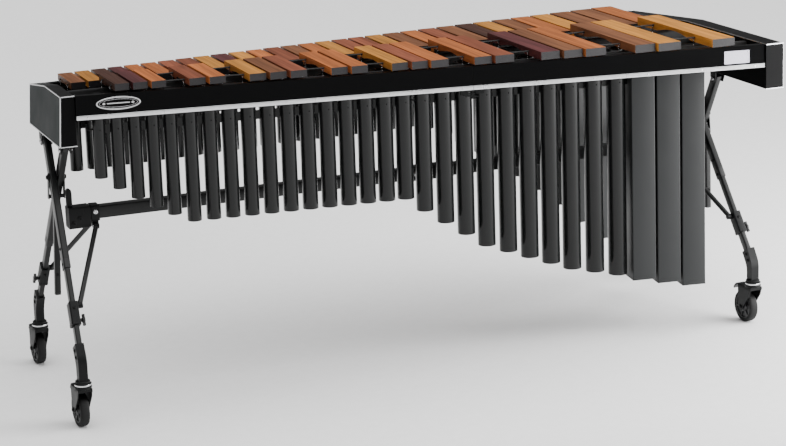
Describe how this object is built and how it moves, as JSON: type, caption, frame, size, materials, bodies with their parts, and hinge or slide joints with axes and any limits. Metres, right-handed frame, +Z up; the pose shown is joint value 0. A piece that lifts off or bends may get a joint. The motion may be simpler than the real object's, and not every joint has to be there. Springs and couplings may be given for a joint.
{
  "type": "marimba",
  "caption": "Concert marimba with two rows of tuned wooden bars over tube and box resonators, on a tapered frame with crossed adjustable legs and braked casters.",
  "frame": {"origin": "on the floor, under the middle of the bounding box", "axes": "+X along the keyboard towards the low notes, +Y from the accidental bars to the natural bars (towards the player), +Z up"},
  "size_m": [2.189, 0.97, 0.94],
  "materials": {
    "gloss_black": "gloss black lacquer",
    "matt_black": "matt black painted wood",
    "bright_metal": "polished",
    "label_white": "satin white",
    "rosewood": "polished rosewood, varied from bar to bar",
    "tube_black": "gloss and satin black lacquered aluminium",
    "wheel_rubber": "black rubber tread on a moulded rim",
    "plastic_black": "black moulded",
    "board_black": "dark lacquer with a bright edge trim",
    "black_steel": "satin black"
  },
  "bodies": {
    "frame": {"near_rail_high": "gloss_black", "near_rail_low": "gloss_black", "far_rail_high": "gloss_black", "far_rail_low": "gloss_black", "near_strip_high": "bright_metal", "near_strip_low": "bright_metal", "badge_plate": "bright_metal", "label_plate": "label_white", "near_latch": "black_steel", "far_latch": "black_steel", "natural_bars_high": "rosewood", "natural_bars_low": "rosewood", "accidental_bars_high": "rosewood", "accidental_bars_low": "rosewood", "near_support_rail": "matt_black", "near_inner_rail": "matt_black", "far_inner_rail": "matt_black", "far_support_rail": "matt_black", "near_resonators_high": "tube_black", "near_resonators_low": "tube_black", "far_resonators_high": "tube_black", "far_resonators_low": "tube_black", "centre_beam": "black_steel", "beam_coupling": "black_steel", "high_near_leg_sleeve": "black_steel", "high_far_leg_sleeve": "black_steel", "high_near_brace": "black_steel", "high_far_brace": "black_steel", "high_post": "black_steel", "low_near_leg_sleeve": "black_steel", "low_far_leg_sleeve": "black_steel", "low_near_brace": "black_steel", "low_far_brace": "black_steel", "low_post": "black_steel", "end_board_high": "board_black", "end_board_low": "board_black", "high_beam_clamp": "black_steel", "low_beam_clamp": "black_steel", "high_beam_block": "black_steel", "low_beam_block": "black_steel"},
    "high_near_leg": {"high_near_inner_leg": "black_steel"},
    "high_near_caster": {"high_near_fork": "black_steel"},
    "high_near_roller": {"high_near_wheel": "wheel_rubber"},
    "high_near_brake": {"high_near_brake_pedal": "plastic_black"},
    "high_near_knob": {"high_near_clamp_knob": "plastic_black"},
    "high_far_leg": {"high_far_inner_leg": "black_steel"},
    "high_far_caster": {"high_far_fork": "black_steel"},
    "high_far_roller": {"high_far_wheel": "wheel_rubber"},
    "high_far_brake": {"high_far_brake_pedal": "plastic_black"},
    "high_far_knob": {"high_far_clamp_knob": "plastic_black"},
    "low_near_leg": {"low_near_inner_leg": "black_steel"},
    "low_near_caster": {"low_near_fork": "black_steel"},
    "low_near_roller": {"low_near_wheel": "wheel_rubber"},
    "low_near_brake": {"low_near_brake_pedal": "plastic_black"},
    "low_near_knob": {"low_near_clamp_knob": "plastic_black"},
    "low_far_leg": {"low_far_inner_leg": "black_steel"},
    "low_far_caster": {"low_far_fork": "black_steel"},
    "low_far_roller": {"low_far_wheel": "wheel_rubber"},
    "low_far_brake": {"low_far_brake_pedal": "plastic_black"},
    "low_far_knob": {"low_far_clamp_knob": "plastic_black"}
  },
  "joints": [
    {"name": "high_near_leg_slide", "type": "slide", "parent": "frame", "child": "high_near_leg", "axis": [-0.0375, -0.5621, -0.8262], "range_m": [-0.05, 0.1]},
    {"name": "high_near_swivel", "type": "hinge", "parent": "high_near_leg", "child": "high_near_caster", "pos_m": [-1.06883, -0.31083, 0.138], "axis": [0, 0, 1], "continuous": true},
    {"name": "high_near_wheel_spin", "type": "hinge", "parent": "high_near_caster", "child": "high_near_roller", "pos_m": [-1.07082, -0.27288, 0.04957], "axis": [0.9986, 0.0523, 0], "continuous": true},
    {"name": "high_near_brake_press", "type": "hinge", "parent": "high_near_caster", "child": "high_near_brake", "pos_m": [-1.0716, -0.2579, 0.1155], "axis": [-0.9986, -0.0523, 0], "range_deg": [0, 15]},
    {"name": "high_near_knob_turn", "type": "hinge", "parent": "frame", "child": "high_near_knob", "pos_m": [-1.04295, -0.24226, 0.29322], "axis": [0.999, 0, -0.0454], "range_deg": [-90, 90]},
    {"name": "high_far_leg_slide", "type": "slide", "parent": "frame", "child": "high_far_leg", "axis": [-0.0375, 0.5621, -0.8262], "range_m": [-0.05, 0.1]},
    {"name": "high_far_swivel", "type": "hinge", "parent": "high_far_leg", "child": "high_far_caster", "pos_m": [-1.04805, 0.31083, 0.138], "axis": [0, 0, 1], "continuous": true},
    {"name": "high_far_wheel_spin", "type": "hinge", "parent": "high_far_caster", "child": "high_far_roller", "pos_m": [-1.05004, 0.34878, 0.04957], "axis": [0.9986, 0.0523, 0], "continuous": true},
    {"name": "high_far_brake_press", "type": "hinge", "parent": "high_far_caster", "child": "high_far_brake", "pos_m": [-1.05082, 0.36376, 0.1155], "axis": [-0.9986, -0.0523, 0], "range_deg": [0, 15]},
    {"name": "high_far_knob_turn", "type": "hinge", "parent": "frame", "child": "high_far_knob", "pos_m": [-1.06479, 0.24226, 0.29457], "axis": [-0.999, 0, 0.0454], "range_deg": [-90, 90]},
    {"name": "low_near_leg_slide", "type": "slide", "parent": "frame", "child": "low_near_leg", "axis": [0.0548, -0.5621, -0.8253], "range_m": [-0.05, 0.1]},
    {"name": "low_near_swivel", "type": "hinge", "parent": "low_near_leg", "child": "low_near_caster", "pos_m": [1.04949, -0.28779, 0.138], "axis": [0, 0, 1], "continuous": true},
    {"name": "low_near_wheel_spin", "type": "hinge", "parent": "low_near_caster", "child": "low_near_roller", "pos_m": [1.0475, -0.24984, 0.04957], "axis": [0.9986, 0.0523, 0], "continuous": true},
    {"name": "low_near_brake_press", "type": "hinge", "parent": "low_near_caster", "child": "low_near_brake", "pos_m": [1.04672, -0.23486, 0.1155], "axis": [-0.9986, -0.0523, 0], "range_deg": [0, 15]},
    {"name": "low_near_knob_turn", "type": "hinge", "parent": "frame", "child": "low_near_knob", "pos_m": [1.06411, -0.21921, 0.29213], "axis": [0.9978, 0, 0.0663], "range_deg": [-90, 90]},
    {"name": "low_far_leg_slide", "type": "slide", "parent": "frame", "child": "low_far_leg", "axis": [0.0548, 0.5621, -0.8253], "range_m": [-0.05, 0.1]},
    {"name": "low_far_swivel", "type": "hinge", "parent": "low_far_leg", "child": "low_far_caster", "pos_m": [1.07025, 0.28779, 0.138], "axis": [0, 0, 1], "continuous": true},
    {"name": "low_far_wheel_spin", "type": "hinge", "parent": "low_far_caster", "child": "low_far_roller", "pos_m": [1.06826, 0.32574, 0.04957], "axis": [0.9986, 0.0523, 0], "continuous": true},
    {"name": "low_far_brake_press", "type": "hinge", "parent": "low_far_caster", "child": "low_far_brake", "pos_m": [1.06748, 0.34072, 0.1155], "axis": [-0.9986, -0.0523, 0], "range_deg": [0, 15]},
    {"name": "low_far_knob_turn", "type": "hinge", "parent": "frame", "child": "low_far_knob", "pos_m": [1.04226, 0.21921, 0.29016], "axis": [-0.9978, 0, -0.0663], "range_deg": [-90, 90]}
  ]
}
